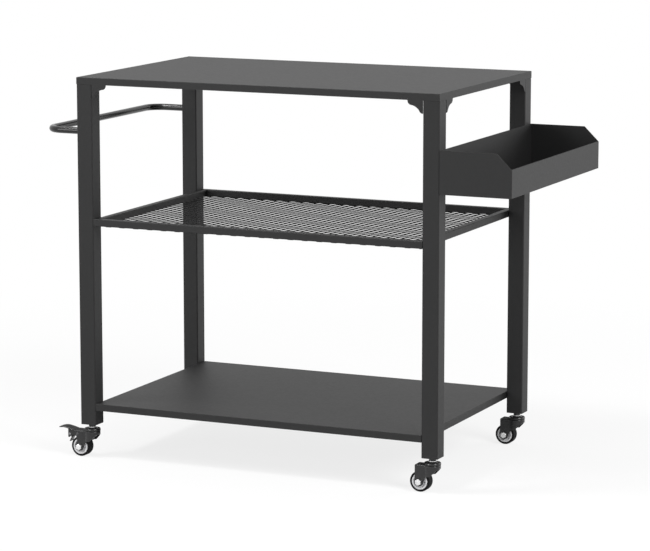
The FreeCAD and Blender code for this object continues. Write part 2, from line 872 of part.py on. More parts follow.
def axle_bolt(corner):
    """Hexagon head bolt through both fork plates, head to the front."""
    face = FORK_HALF
    tail = f"{face} + dims.nut_height + dims.axle_tail"
    body = turned(
        f"axle_bolt_{corner}",
        [
            ("0", f"-({face}) - dims.axle_face_height"),
            ("dims.axle_face", f"-({face}) - dims.axle_face_height"),
            ("dims.axle_face", f"-({face})"),
            ("dims.axle_radius", f"-({face})"),
            ("dims.axle_radius", f"{tail} - 1"),
            ("dims.axle_radius - 1", tail),
            ("0", tail),
        ],
    )
    head = new_sketch(body, "XY_Plane", f"-({face}) - dims.axle_face_height")
    hexagon(head, "dims.axle_head")
    pad(body, head, "dims.axle_head_height", backwards=True)
    along_axle(body, corner)


def axle_nut(corner):
    body = new_body(f"axle_nut_{corner}")
    face = new_sketch(body, "XY_Plane", FORK_HALF)
    hexagon(face, "dims.axle_head")
    circle(face, "dims.axle_radius")
    pad(body, face, "dims.nut_height")
    along_axle(body, corner)


def axle_sleeve(corner):
    """Tube clamped between the fork plates, on which the hub turns."""
    half = "dims.fork_gap / 2"
    bore = "dims.axle_radius + dims.running_play"
    body = turned(
        f"axle_sleeve_{corner}",
        [(bore, f"-{half}"), ("dims.sleeve_radius", f"-{half}"), ("dims.sleeve_radius", half), (bore, half)],
    )
    along_axle(body, corner)


def wheel_hub(corner):
    """Moulded hub: a long boss, a recessed web and a wide rim."""
    bore = "dims.sleeve_radius + dims.running_play"
    rim_radius = "dims.wheel_radius - dims.tyre_depth"
    half = [
        (bore, "dims.hub_length / 2"),
        ("dims.hub_boss", "dims.hub_length / 2"),
        ("dims.hub_boss", "dims.hub_web / 2"),
        ("dims.hub_rim", "dims.hub_web / 2"),
        ("dims.hub_rim + 1", "dims.hub_rim_width / 2"),
        (rim_radius, "dims.hub_rim_width / 2"),
    ]
    other_half = [(radius, f"-({level})") for radius, level in reversed(half)]
    along_axle(turned(f"wheel_hub_{corner}", half + other_half), corner)


def wheel_tyre(corner):
    """Solid tread moulded round the hub, with rounded shoulders."""
    inner = "dims.wheel_radius - dims.tyre_depth"
    half = "dims.wheel_width / 2"
    body = turned(
        f"wheel_tyre_{corner}",
        [(inner, f"-{half}"), ("dims.wheel_radius", f"-{half}"), ("dims.wheel_radius", half), (inner, half)],
    )
    tread = size_of("wheel_radius")
    fillet(
        body,
        "dims.tyre_shoulder",
        lambda edge: edge.Curve.TypeId == "Part::GeomCircle" and abs(edge.Curve.Radius - tread) < 0.01,
    )
    along_axle(body, corner)


# Brakes


def brake_pedal(corner):
    """Arched foot plate with two cheeks that reach into the fork and turn on its pin."""
    body = new_body(f"brake_pedal_{corner}")
    sheet_of = "dims.pedal_sheet"
    tip_arch = "dims.pedal_tip_arch"
    root_arch = "dims.pedal_root_arch"
    plate = new_sketch(body, "XZ_Plane")
    outline(
        plate,
        [
            ("-dims.pedal_tip_back", "dims.pedal_tip_height"),
            ("-dims.pedal_crown_back", "dims.pedal_crown_height"),
            ("-dims.pedal_root_back", "dims.pedal_root_height"),
            ("-dims.pedal_root_back - 1", f"dims.pedal_root_height - {sheet_of}"),
            ("-dims.pedal_crown_back", f"dims.pedal_crown_height - {sheet_of}"),
            ("-dims.pedal_tip_back", f"dims.pedal_tip_height - {sheet_of}"),
        ],
        {0: (tip_arch, -0.04), 1: (root_arch, -0.01), 3: (root_arch, 0.01), 4: (tip_arch, 0.04)},
    )
    pad(body, plate, "dims.pedal_width", both_ways=True)
    cheek = new_sketch(body, "XZ_Plane", "dims.cheek_gap / 2")
    boss = "dims.brake_boss"
    outline(
        cheek,
        [
            ("-dims.cheek_back", f"dims.pedal_crown_height - 1.3 * {sheet_of}"),
            ("-dims.pedal_root_back - 3", "dims.pedal_root_height - 0.8"),
            ("-dims.pedal_root_back + 0.5", "dims.pedal_root_height - 3"),
            ("-dims.brake_pivot_back", f"dims.brake_pivot_height + {boss}"),
            (f"-dims.brake_pivot_back + {boss}", "dims.brake_pivot_height"),
            ("-dims.brake_pivot_back", f"dims.brake_pivot_height - {boss}"),
            ("-dims.pedal_root_back", f"dims.brake_pivot_height - {boss}"),
            ("-dims.cheek_back + 8.2", "dims.cheek_low + 4.2"),
            ("-dims.cheek_back + 3.2", "dims.cheek_low"),
            ("-dims.cheek_back", "dims.cheek_low + 1.5"),
        ],
        {3: (boss, -0.2), 4: (boss, -0.2), 8: ("dims.cheek_round", -0.2)},
    )
    near_cheek = pad(body, cheek, sheet_of)
    mirrored(body, [near_cheek], "XZ_Plane")
    hole = new_sketch(body, "XZ_Plane")
    centre = ("-dims.brake_pivot_back", "dims.brake_pivot_height")
    circle(hole, "dims.brake_pin_radius + dims.running_play", centre)
    pocket(body, hole, "dims.pedal_width", both_ways=True)
    at_caster(body, corner)


def brake_shoe(corner):
    """Strip welded between the cheeks, with a narrower curved tongue just clear of the tread."""
    body = new_body(f"brake_shoe_{corner}")
    inner = "(dims.wheel_radius + dims.shoe_gap)"
    outer = f"({inner} + dims.shoe_sheet)"
    axle = "dims.wheel_radius"

    def on_circle(radius, level):
        return (f"-dims.caster_trail - sqrt({radius} ^ 2 - ({level} - {axle}) ^ 2)", level)

    near, bend = on_circle(inner, "dims.shoe_bend")
    upper = [(near, "dims.shoe_high"), (f"{near} - dims.shoe_sheet", "dims.shoe_high")]
    strip = new_sketch(body, "XZ_Plane")
    outline(strip, [(near, bend)] + upper + [on_circle(outer, bend)])
    pad(body, strip, "dims.cheek_gap", both_ways=True)
    tongue = new_sketch(body, "XZ_Plane")
    outline(
        tongue,
        [
            on_circle(inner, "dims.shoe_low"),
            on_circle(inner, bend),
            on_circle(outer, bend),
            on_circle(outer, "dims.shoe_low"),
        ],
        {0: (inner, -0.05), 2: (outer, 0.05)},
    )
    pad(body, tongue, "dims.shoe_tongue", both_ways=True)
    at_caster(body, corner)


def brake_pin(corner):
    """Headed pin through the fork plates and the pedal's cheeks."""
    side, end = CORNERS[corner]
    face = f"({FORK_HALF})"
    edge = f"({face} + dims.brake_pin_head_height)"
    body = turned(
        f"brake_pin_{corner}",
        [
            ("0", f"-{edge}"),
            ("dims.brake_pin_head", f"-{edge}"),
            ("dims.brake_pin_head", f"-{face}"),
            ("dims.brake_pin_radius", f"-{face}"),
            ("dims.brake_pin_radius", face),
            ("dims.brake_pin_head", face),
            ("dims.brake_pin_head", edge),
            ("0", edge),
        ],
    )
    along_axle(body, corner)
    place(
        body,
        f"{FRAME_X} + {signed(side, LEG_X)} - dims.brake_pivot_back",
        signed(end, LEG_Y),
        "dims.brake_pivot_height",
    )


def caster(corner):
    caster_stem(corner)
    bearing_cap(corner)
    swivel_bearing(corner)
    fork(corner)
    axle_bolt(corner)
    axle_nut(corner)
    axle_sleeve(corner)
    wheel_hub(corner)
    wheel_tyre(corner)
    if corner in BRAKED:
        brake_pedal(corner)
        brake_shoe(corner)
        brake_pin(corner)


def check(thing):
    """Stops the build if an object failed or its shape isn't sound."""
    if any(word in thing.State for word in ("Invalid", "Error")):
        raise RuntimeError(f"{thing.Label}: {thing.State}")
    shape = getattr(thing, "Shape", None)
    if shape is not None and not thing.isDerivedFrom("Sketcher::SketchObject"):
        if thing in sub_parts and (shape.isNull() or not shape.isValid() or not shape.Solids):
            raise RuntimeError(f"{thing.Label}: unsound shape")


for name in CORNERS:
    leg(name)
caster_sockets()
corner_posts()
top_panel()
channels("top_stiffeners", "dims.cart_height - dims.top_sheet", f"{HALF_DEPTH} - dims.top_sheet", 3)
middle_shelf_rails()
middle_shelf_mesh()
bottom_shelf()
channels(
    "bottom_shelf_stiffeners",
    "dims.bottom_shelf_top - dims.shelf_sheet",
    f"{HALF_DEPTH} - dims.shelf_sheet",
    2,
)
side_tray()
push_handle()
for name in CORNERS:
    caster(name)

doc.recompute()
for thing in doc.Objects:
    check(thing)
os.makedirs("parts", exist_ok=True)
for thing in sub_parts:
    thing.Shape.exportStep(f"parts/{thing.Label}.step")
print(f"{len(sub_parts)} sub-parts written")
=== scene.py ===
import math

import bmesh
import bpy
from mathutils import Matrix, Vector


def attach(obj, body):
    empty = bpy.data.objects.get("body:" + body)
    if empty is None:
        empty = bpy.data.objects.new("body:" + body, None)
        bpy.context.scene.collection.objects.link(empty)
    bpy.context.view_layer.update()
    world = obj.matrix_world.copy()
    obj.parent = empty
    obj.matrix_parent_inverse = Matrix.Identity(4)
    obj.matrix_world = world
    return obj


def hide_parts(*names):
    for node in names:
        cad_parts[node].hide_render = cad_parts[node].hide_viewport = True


# A grill cart in satin dark grey powder coat, on four small swivel casters. Shapes are given in
# millimetres in the frame of the solids, +X to the right, +Y to the back and +Z up from the floor, and
# are written in metres. Materials, floor, lamps and camera are in metres throughout.

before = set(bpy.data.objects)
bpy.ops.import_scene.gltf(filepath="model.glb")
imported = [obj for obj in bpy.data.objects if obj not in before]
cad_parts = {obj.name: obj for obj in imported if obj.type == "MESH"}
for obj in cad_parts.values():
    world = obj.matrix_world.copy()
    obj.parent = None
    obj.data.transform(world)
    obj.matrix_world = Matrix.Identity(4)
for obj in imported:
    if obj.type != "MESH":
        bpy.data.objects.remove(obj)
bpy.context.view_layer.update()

MM = 0.001
TINY = 1e-6
SMOOTH_BELOW = 32  # degrees between two faces that are shaded as one

FRAME_X = -35.25
LEG_X, LEG_Y = 435.5, 267.5
CORNERS = {
    "front_left": (-1, -1),
    "front_right": (1, -1),
    "rear_left": (-1, 1),
    "rear_right": (1, 1),
}
BRAKED = ("front_left", "rear_left")

# Casters: distances behind the kingpin, heights above the floor, radii and half widths
TRAIL, AXLE_HEIGHT = 27.0, 24.0
KINGPIN_RADIUS, AXLE_RADIUS = 4.0, 4.0
HEX_RADIUS = 7.5
FORK_FACE = 15.0
HUB_SEAT = 18.5
PIN_BACK, PIN_HEIGHT = 33.0, 54.0
RIVET_BACK, RIVET_HEIGHT = 55.0, 51.3
PEDAL_TIP, PEDAL_ROOT = 84.0, 42.5
CHEEK_INSIDE, CHEEK_OUTSIDE = 10.0, 12.0


# Mesh helpers, in millimetres until the mesh is written


def write(name, bm, material, body, replaces=()):
    """Turns a bmesh in millimetres into a shaded piece that rides on a body."""
    bmesh.ops.remove_doubles(bm, verts=bm.verts, dist=1e-4)
    bmesh.ops.recalc_face_normals(bm, faces=bm.faces)
    for face in bm.faces:
        face.smooth = True
    limit = math.radians(SMOOTH_BELOW)
    for edge in bm.edges:
        edge.smooth = len(edge.link_faces) == 2 and edge.calc_face_angle(0) < limit
    bmesh.ops.scale(bm, vec=(MM, MM, MM), verts=bm.verts)
    mesh = bpy.data.meshes.new(name)
    bm.to_mesh(mesh)
    bm.free()
    mesh.materials.append(material)
    piece = bpy.data.objects.new(name, mesh)
    bpy.context.scene.collection.objects.link(piece)
    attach(piece, body)
    if replaces:
        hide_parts(*replaces)


def softened(corners, radius, steps=4):
    """A closed outline with its corners rounded. A corner may carry its own radius as a third value."""
    points = []
    corners = [
        corner for i, corner in enumerate(corners)
        if (Vector(corner[:2]) - Vector(corners[i - 1][:2])).length > 1e-4
    ]
    count = len(corners)
    for i, corner in enumerate(corners):
        here = Vector(corner[:2])
        before = Vector(corners[i - 1][:2]) - here
        after = Vector(corners[(i + 1) % count][:2]) - here
        r = corner[2] if len(corner) > 2 else radius
        bend = before.angle(after)
        reach = r / math.tan(bend / 2) if bend > 1e-3 else 0
        reach = min(reach, before.length * 0.49, after.length * 0.49)
        if r <= 0 or reach < 1e-4 or abs(bend - math.pi) < 1e-3:
            points.append(tuple(here))
            continue
        start = here + before.normalized() * reach
        end = here + after.normalized() * reach
        for k in range(steps + 1):
            t = k / steps
            points.append(tuple(start.lerp(here, t).lerp(here.lerp(end, t), t)))
    return points


def on_upright(x, y):
    """Places a turned shape about a vertical axis."""
    return lambda r, angle, level: (x + r * math.cos(angle), y + r * math.sin(angle), level)


def on_axle(x, y, z):
    """Places a turned shape about an axis from front to back."""
    return lambda r, angle, level: (x + r * math.cos(angle), y + level, z + r * math.sin(angle))


def ring_at(bm, where, level, radii):
    """One ring of a turned shape, or its centre so many times over where it has no width."""
    if max(radii) < TINY:
        return [bm.verts.new(where(0, 0, level))] * len(radii)
    return [bm.verts.new(where(r, 2 * math.pi * k / len(radii), level)) for k, r in enumerate(radii)]


def join_round(bm, rings):
    """Joins each ring to the next, and the last one to the first."""
    for ring, other in zip(rings, rings[1:] + rings[:1]):
        for k in range(len(ring)):
            j = (k + 1) % len(ring)
            corners = []
            for vert in (ring[k], ring[j], other[j], other[k]):
                if vert not in corners:
                    corners.append(vert)
            if len(corners) > 2:
                bm.faces.new(corners)


def join_and_cap(bm, rings):
    """Joins each ring to the next and closes both ends."""
    for ring, other in zip(rings, rings[1:]):
        for k in range(len(ring)):
            j = (k + 1) % len(ring)
            bm.faces.new((ring[k], ring[j], other[j], other[k]))
    bm.faces.new(rings[0])
    bm.faces.new(list(reversed(rings[-1])))


def turn(bm, profile, where, steps=64):
    """A turned solid from a closed profile of (radius, level)."""
    join_round(bm, [ring_at(bm, where, level, [radius] * steps) for radius, level in profile])


def mirrored(half):
    """A profile of (radius, level, corner radius) that is the same on the other side of level 0."""
    return half + [(radius, -level, corner) for radius, level, corner in reversed(half)]


def hexagon_solid(bm, across_corners, low, high, bevel, where, bore=0.0, ends=(True, True)):
    """A hexagon collar, nut or bolt head whose corners are turned off at its ends."""
    steps = 72
    inside = across_corners * math.cos(math.pi / 6)
    cut = across_corners - inside
    turned_off = [(0.0, inside - bevel), (cut * 0.25, inside + cut * 0.45), (cut * 0.62, math.inf)]
    square = [(0.0, math.inf)]
    first, last = (turned_off if end else square for end in ends)
    levels = [(low, bore)]
    levels += [(low + depth, limit) for depth, limit in first]
    levels += [(high - depth, limit) for depth, limit in reversed(last)]
    levels += [(high, bore)]
    sides = []
    for k in range(steps):
        angle = math.radians((k * 360 / steps + 30) % 60 - 30)
        sides.append(inside / math.cos(angle))
    rings = [ring_at(bm, where, level, [min(limit, side) for side in sides]) for level, limit in levels]
    join_round(bm, rings)


def slab(bm, outline, y0, y1, x, y):
    """A plate standing in the XZ plane, from y0 to y1, with its edges eased."""
    near = [bm.verts.new((x + px, y + y0, pz)) for px, pz in outline]
    far = [bm.verts.new((x + px, y + y1, pz)) for px, pz in outline]
    faces = [bm.faces.new(near), bm.faces.new(list(reversed(far)))]
    count = len(outline)
    for i in range(count):
        j = (i + 1) % count
        bm.faces.new((near[j], near[i], far[i], far[j]))
    rims = list({edge for face in faces for edge in face.edges})
    bmesh.ops.bevel(
        bm, geom=rims, offset=0.3, segments=2, profile=0.5, affect="EDGES", clamp_overlap=True
    )


def thread_profile(low, high, radius, pitch=1.25):
    """Ridges and grooves of a threaded end."""
    groove, ridge = radius - 0.7, radius - 0.05
    points = [(0, low)]
    level = low
    while level < high - pitch:
        points += [(groove, level), (ridge, level + pitch * 0.42), (ridge, level + pitch * 0.58)]
        level += pitch
    points += [(groove, level), (groove, high - 0.2), (radius - 0.9, high), (0, high)]
    return points


# Materials


def new_material(name, colour, roughness, metallic=0.0, specular=0.5):
    material = bpy.data.materials.new(name)
    material.use_nodes = True
    nodes = material.node_tree.nodes
    shader = nodes["Principled BSDF"]
    shader.inputs["Base Color"].default_value = (*colour, 1)
    shader.inputs["Roughness"].default_value = roughness
    shader.inputs["Metallic"].default_value = metallic
    shader.inputs["Specular IOR Level"].default_value = specular
    return material, nodes, material.node_tree.links, shader


def noise(nodes, links, scale, detail):
    """Noise fixed to the piece, with so many features to the metre."""
    place = nodes.new("ShaderNodeTexCoord")
    texture = nodes.new("ShaderNodeTexNoise")
    texture.inputs["Scale"].default_value = scale
    texture.inputs["Detail"].default_value = detail
    links.new(place.outputs["Object"], texture.inputs["Vector"])
    return texture.outputs["Fac"]


def map_range(nodes, links, value, low_in, high_in, low, high):
    """Maps one range of a value to another."""
    spread = nodes.new("ShaderNodeMapRange")
    spread.inputs["From Min"].default_value = low_in
    spread.inputs["From Max"].default_value = high_in
    spread.inputs["To Min"].default_value = low
    spread.inputs["To Max"].default_value = high
    links.new(value, spread.inputs["Value"])
    return spread


def between(nodes, links, factor, low, high):
    """Maps noise to a range."""
    return map_range(nodes, links, factor, 0.3, 0.7, low, high).outputs["Result"]


def combine(nodes, links, operation, first, second):
    """One step of arithmetic on two sockets, or on a socket and a number."""
    step = nodes.new("ShaderNodeMath")
    step.operation = operation
    links.new(first, step.inputs[0])
    if isinstance(second, float):
        step.inputs[1].default_value = second
    else:
        links.new(second, step.inputs[1])
    return step.outputs[0]


def scaled(colour, factor):
    return tuple(c * factor for c in colour)


def tint(nodes, links, factor, colour, dark, light):
    """Maps noise to a colour between a darker and a lighter share of it."""
    ramp = nodes.new("ShaderNodeValToRGB")
    first, last = ramp.color_ramp.elements
    first.position, last.position = 0.3, 0.7
    first.color = (*scaled(colour, dark), 1)
    last.color = (*scaled(colour, light), 1)
    links.new(factor, ramp.inputs["Fac"])
    return ramp.outputs["Color"]


def relief(nodes, links, shader, layers):
    """Stacks bumps: each is (height, strength, depth in metres)."""
    last = None
    for height, strength, depth in layers:
        bump = nodes.new("ShaderNodeBump")
        bump.inputs["Strength"].default_value = strength
        bump.inputs["Distance"].default_value = depth
        links.new(height, bump.inputs["Height"])
        if last is not None:
            links.new(last.outputs["Normal"], bump.inputs["Normal"])
        last = bump
    links.new(last.outputs["Normal"], shader.inputs["Normal"])


def powder_coat(name, colour, roughness=0.56, specular=0.37):
    """Fine orange peel with a slightly uneven tone and sheen."""
    material, nodes, links, shader = new_material(name, colour, roughness, specular=specular)
    tone = noise(nodes, links, 9.0, 4.0)
    links.new(tint(nodes, links, tone, colour, 0.94, 1.06), shader.inputs["Base Color"])
    sheen = noise(nodes, links, 140.0, 3.0)
    uneven = between(nodes, links, sheen, roughness - 0.02, roughness + 0.02)
    links.new(uneven, shader.inputs["Roughness"])
    peel = noise(nodes, links, 700.0, 2.0)
    grain = noise(nodes, links, 2600.0, 1.0)
    relief(nodes, links, shader, [(peel, 0.2, 0.00006), (grain, 0.2, 0.00003)])
    return material


def upward(nodes, links):
    """1 where a face looks up, as where dust settles, and 0 on the sides."""
    place = nodes.new("ShaderNodeTexCoord")
    parts = nodes.new("ShaderNodeSeparateXYZ")
    links.new(place.outputs["Normal"], parts.inputs[0])
    return map_range(nodes, links, parts.outputs["Z"], 0.9, 0.99, 0.0, 1.0).outputs["Result"]


def black_coat(name, colour):
    """Thin black coat over pressed steel: smooth on its sides, dull with dust where it looks up."""
    material, nodes, links, shader = new_material(name, colour, 0.22, specular=0.5)
    tone = noise(nodes, links, 90.0, 5.0)
    links.new(tint(nodes, links, tone, colour, 0.75, 1.3), shader.inputs["Base Color"])
    dust = combine(nodes, links, "MULTIPLY", upward(nodes, links), 0.66)
    sheen = combine(nodes, links, "ADD", between(nodes, links, tone, 0.18, 0.28), dust)
    links.new(sheen, shader.inputs["Roughness"])
    peel = noise(nodes, links, 1500.0, 2.0)
    relief(nodes, links, shader, [(peel, 0.2, 0.00006)])
    return material


def zinc(name, colour, roughness):
    """Plated steel with fine tool marks."""
    material, nodes, links, shader = new_material(name, colour, roughness, metallic=1.0)
    tone = noise(nodes, links, 260.0, 5.0)
    links.new(tint(nodes, links, tone, colour, 0.86, 1.08), shader.inputs["Base Color"])
    marks = noise(nodes, links, 1800.0, 3.0)
    worn = between(nodes, links, marks, roughness - 0.08, roughness + 0.12)
    links.new(worn, shader.inputs["Roughness"])
    relief(nodes, links, shader, [(marks, 0.12, 0.00004)])
    return material


def moulded(name, colour, roughness=0.5):
    """Moulded plastic with a fine sparked texture."""
    material, nodes, links, shader = new_material(name, colour, roughness, specular=0.4)
    tone = noise(nodes, links, 120.0, 4.0)
    links.new(tint(nodes, links, tone, colour, 0.94, 1.05), shader.inputs["Base Color"])
    uneven = between(nodes, links, tone, roughness - 0.06, roughness + 0.06)
    links.new(uneven, shader.inputs["Roughness"])
    grain = noise(nodes, links, 3000.0, 2.0)
    relief(nodes, links, shader, [(grain, 0.15, 0.00004)])
    return material


def tread(name, colour):
    """Hard rubber, matt, with dust in its grain."""
    material, nodes, links, shader = new_material(name, colour, 0.7, specular=0.1)
    tone = noise(nodes, links, 70.0, 6.0)
    links.new(tint(nodes, links, tone, colour, 0.8, 1.5), shader.inputs["Base Color"])
    links.new(between(nodes, links, tone, 0.55, 0.75), shader.inputs["Roughness"])
    grain = noise(nodes, links, 1600.0, 4.0)
    relief(nodes, links, shader, [(grain, 0.3, 0.00008)])
    return material


SHEET_GREY = (0.007, 0.007, 0.0072)
LEG_GREY = (0.006, 0.006, 0.0062)
sheet_coat = powder_coat("coat_sheet", SHEET_GREY)
leg_coat = powder_coat("coat_leg", LEG_GREY)
mesh_coat = powder_coat("coat_mesh", scaled(SHEET_GREY, 0.6), 0.66, 0.2)
rod_coat = powder_coat("coat_rod", scaled(SHEET_GREY, 0.5), 0.22, 0.45)
fork_black = black_coat("black_fork", (0.007, 0.007, 0.0073))
cap_black = black_coat("black_cap", (0.003, 0.003, 0.0031))
pedal_black = black_coat("black_pedal", (0.006, 0.006, 0.0062))
# Painted shade: the plated metal stem is coloured near black, as dark as the leg's shade makes its
# upper part
stem_painted_shade = black_coat("black_stem_painted_shade", (0.010, 0.010, 0.0105))
zinc_bright = zinc("zinc_bright", (0.80, 0.80, 0.80), 0.28)
zinc_dull = zinc("zinc_dull", (0.24, 0.24, 0.245), 0.34)
zinc_dark = zinc("zinc_dark", (0.08, 0.08, 0.082), 0.36)
hub_grey = moulded("hub_grey", (0.60, 0.60, 0.61))
tyre_black = tread("tyre_black", (0.005, 0.005, 0.0052))

# The finish of each solid, by the start of its name. The first that fits is taken.
COATS = {
    "leg": leg_coat,
    "corner_posts": sheet_coat,
    "caster_sockets": zinc_dull,
    "top": sheet_coat,
    "middle_shelf_mesh": mesh_coat,
    "middle": sheet_coat,
    "bottom": sheet_coat,
    "side_tray": sheet_coat,
    "push_handle": rod_coat,
    "caster_stem": stem_painted_shade,
    "bearing_cap": cap_black,
    "swivel_bearing": zinc_dull,
    "fork": fork_black,
    "axle_bolt": zinc_bright,
    "axle_nut": zinc_bright,
    "axle_sleeve": zinc_dull,
    "wheel_hub": hub_grey,
    "wheel_tyre": tyre_black,
    "brake_pedal": pedal_black,
    "brake_shoe": pedal_black,
    "brake_pin": zinc_dark,
}


def coat_solids():
    """Gives each solid of the frame its finish."""
    for name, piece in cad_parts.items():
        coat = next(material for start, material in COATS.items() if name.startswith(start))
        for slot in piece.material_slots:
            slot.material = coat


# Middle shelf


def expanded_mesh():
    """Flattened expanded metal: staggered long openings with short flats at the bonds, cut off square
    under the rails."""
    long_way, short_way = 36.0, 21.7
    strand, bond, knuckle = 3.7, 4.2, 4.8
    half_x, half_y = 411.5, 283.5
    top, thick = 556.0, 1.2
    tip = long_way / 2 - knuckle
    flat = short_way / 2 - strand
    outer = [(long_way / 2, 0), (0, short_way / 2), (-long_way / 2, 0), (0, -short_way / 2)]
    inner = [(tip, 0), (bond, flat), (-bond, flat), (-tip, 0), (-bond, -flat), (bond, -flat)]
    bm = bmesh.new()
    rows = int(half_y / short_way) + 2
    columns = int(half_x / long_way) + 2
    for row in range(-2 * rows, 2 * rows + 1):
        for column in range(-2 * columns, 2 * columns + 1):
            if (row + column) % 2:
                continue
            x = FRAME_X + column * long_way / 2
            y = row * short_way / 2
            o = [bm.verts.new((x + a, y + b, top)) for a, b in outer]
            n = [bm.verts.new((x + a, y + b, top)) for a, b in inner]
            bm.faces.new((o[0], o[1], n[1], n[0]))
            bm.faces.new((o[1], n[2], n[1]))
            bm.faces.new((o[1], o[2], n[3], n[2]))
            bm.faces.new((o[2], o[3], n[4], n[3]))
            bm.faces.new((o[3], n[5], n[4]))
            bm.faces.new((o[3], o[0], n[0], n[5]))
    bmesh.ops.remove_doubles(bm, verts=bm.verts, dist=1e-3)
    for point, normal in (
        ((FRAME_X + half_x, 0, 0), (1, 0, 0)),
        ((FRAME_X - half_x, 0, 0), (-1, 0, 0)),
        ((0, half_y, 0), (0, 1, 0)),
        ((0, -half_y, 0), (0, -1, 0)),
    ):
        geometry = bm.verts[:] + bm.edges[:] + bm.faces[:]
        bmesh.ops.bisect_plane(bm, geom=geometry, plane_co=point, plane_no=normal, clear_outer=True)
    lower = bmesh.ops.extrude_face_region(bm, geom=bm.faces[:])
    moved = [item for item in lower["geom"] if isinstance(item, bmesh.types.BMVert)]
    bmesh.ops.translate(bm, verts=moved, vec=(0, 0, -thick))
    write("expanded_mesh", bm, mesh_coat, "cart", ["middle_shelf_mesh"])


# Push handle


def push_bar():
    """Round tube bent to a U, with a weld bead where each end meets its leg."""
    radius, bend, level, straight = 8.0, 40.0, 776.0, 8.0
    bend_steps, grip_steps, steps = 16, 8, 40
    root = FRAME_X - LEG_X - 20.0
    reach = root - 92.5
    corner = []
    for k in range(bend_steps + 1):
        angle = math.pi / 2 * k / bend_steps
        x = reach + bend - bend * math.sin(angle)
        corner.append((x, -LEG_Y + bend - bend * math.cos(angle)))
    path = [(root, -LEG_Y), (root - straight, -LEG_Y)] + corner
    for k in range(1, grip_steps):
        path.append((reach, -LEG_Y + bend + (2 * LEG_Y - 2 * bend) * k / grip_steps))
    path += [(x, -y) for x, y in reversed(corner)]
    path += [(root - straight, LEG_Y), (root, LEG_Y)]
    bm = bmesh.new()
    rings = []
    for i, (x, y) in enumerate(path):
        before = Vector(path[max(i - 1, 0)])
        after = Vector(path[min(i + 1, len(path) - 1)])
        along = (after - before).normalized()
        across = Vector((-along.y, along.x))
        ring = []
        for k in range(steps):
            a = 2 * math.pi * k / steps
            offset = across * math.cos(a) * radius
            ring.append(bm.verts.new((x + offset.x, y + offset.y, level + math.sin(a) * radius)))
        rings.append(ring)
    join_and_cap(bm, rings)
    for side in (-1, 1):
        bead(bm, root, side * LEG_Y, level, radius)
    write("push_bar", bm, rod_coat, "cart", ["push_handle"])


def bead(bm, x, y, z, radius):
    """Weld bead round a rod's end, rippled like a row of overlapping drops."""
    around, across, sunk = 72, 6, 0.3
    foot = radius - sunk
    rings = []
    for k in range(around):
        a = 2 * math.pi * k / around
        size = 1.9 + 0.22 * math.cos(12 * a + 0.7) + 0.12 * math.cos(5 * a)
        section = []
        for i in range(across + 1):
            t = math.pi / 2 * i / across
            section.append((size * math.sin(t), foot + size * math.cos(t)))
        section.append((0, foot))
        rings.append([
            bm.verts.new((x - back, y + out * math.cos(a), z + out * math.sin(a)))
            for back, out in section
        ])
    join_round(bm, rings)


# Casters


def caster_pieces(corner):
    """All the pieces of one caster, apart from its fork, bearing, sleeve and shoe."""
    side, end = CORNERS[corner]
    x = FRAME_X + side * LEG_X
    y = end * LEG_Y
    stem_pieces(corner, on_upright(x, y))
    axle_pieces(corner, on_axle(x - TRAIL, y, AXLE_HEIGHT))
    if corner in BRAKED:
        brake_pieces(corner, x, y)


def stem_pieces(corner, upright):
    """Threaded stem with its hexagon and kingpin, the collar under the hexagon, and the cap."""
    bm = bmesh.new()
    kingpin = [
        (0, 58.55, 0), (6.0, 58.55, 1.2), (6.5, 59.4), (6.5, 60.95), (KINGPIN_RADIUS, 60.95),
        (KINGPIN_RADIUS, 72.9), (0, 72.9, 0),
    ]
    turn(bm, softened(kingpin, 0.3), upright)
    # The hexagon and thread are coloured black as painted shade under the leg; the zinc collar below
    # keeps the metal's lit colour
    hexagon_solid(bm, 8.2, 73.0, 80.0, 0.2, upright)
    turn(bm, thread_profile(80.0, 105.0, 5.0), upright, 40)
    write(f"stem_{corner}", bm, stem_painted_shade, "cart", [f"caster_stem_{corner}"])

    bm = bmesh.new()
    collar = [(KINGPIN_RADIUS, 71.0, 0), (8.9, 71.0, 0.4), (8.9, 73.0, 0.7), (KINGPIN_RADIUS, 73.0, 0)]
    turn(bm, softened(collar, 0.3), upright, 72)
    write(f"collar_{corner}", bm, zinc_bright, "cart")

    bm = bmesh.new()
    cup = [
        (KINGPIN_RADIUS, 67.3, 0), (18.1, 67.3, 0.8), (18.1, 63.4, 0.1), (19.5, 63.4, 0.5),
        (19.6, 66.6, 0.4), (19.1, 67.1, 0.3), (19.1, 67.5, 0.3), (18.6, 68.8, 1.0), (12.2, 68.8, 1.0),
        (10.5, 70.0, 0.8), (10.5, 71.0, 0.6), (KINGPIN_RADIUS, 71.0, 0),
    ]
    turn(bm, softened(cup, 0.4), upright, 96)
    write(f"cap_{corner}", bm, cap_black, "cart", [f"bearing_cap_{corner}"])


